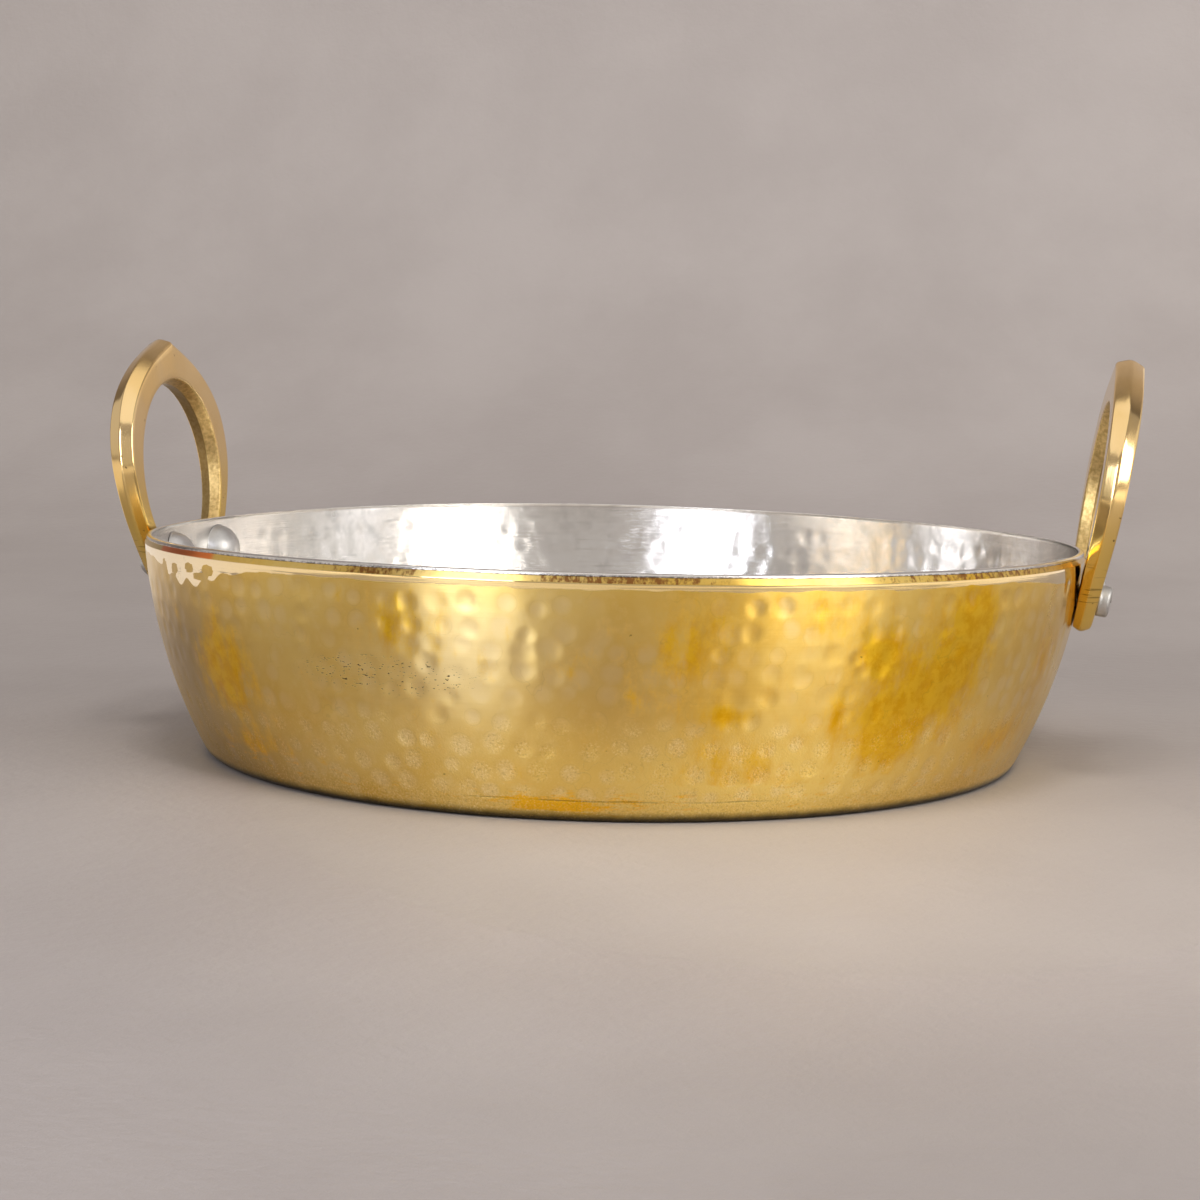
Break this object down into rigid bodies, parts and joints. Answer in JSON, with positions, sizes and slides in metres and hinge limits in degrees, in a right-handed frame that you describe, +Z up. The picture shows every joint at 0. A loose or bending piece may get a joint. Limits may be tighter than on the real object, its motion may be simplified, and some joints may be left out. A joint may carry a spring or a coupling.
{
  "type": "rondeau pan",
  "caption": "Wide, shallow round brass pan with a leaning hammered wall, a tin-lined inside and riveted cast ring handles for lifting it from a stove.",
  "frame": {"origin": "middle of the flat underside, on the surface that the pan stands on", "axes": "+Z up, handles at the +X and -X sides, -Y is the front"},
  "size_m": [0.3087, 0.28, 0.1213],
  "materials": {
    "hammered_brass": "hammered, polished band at the lip, worn satin below",
    "tin": "wiped tin, soft shine, fine turning lines",
    "cast_brass": "cast, ground and polished faces, rough hole",
    "rivet_metal": "bright, lightly tooled"
  },
  "bodies": {
    "root": {"pan_body": "hammered_brass", "tin_lining": "tin", "handle_left": "cast_brass", "handle_right": "cast_brass", "rivet_left_front": "rivet_metal", "rivet_left_back": "rivet_metal", "rivet_right_front": "rivet_metal", "rivet_right_back": "rivet_metal"}
  },
  "joints": []
}
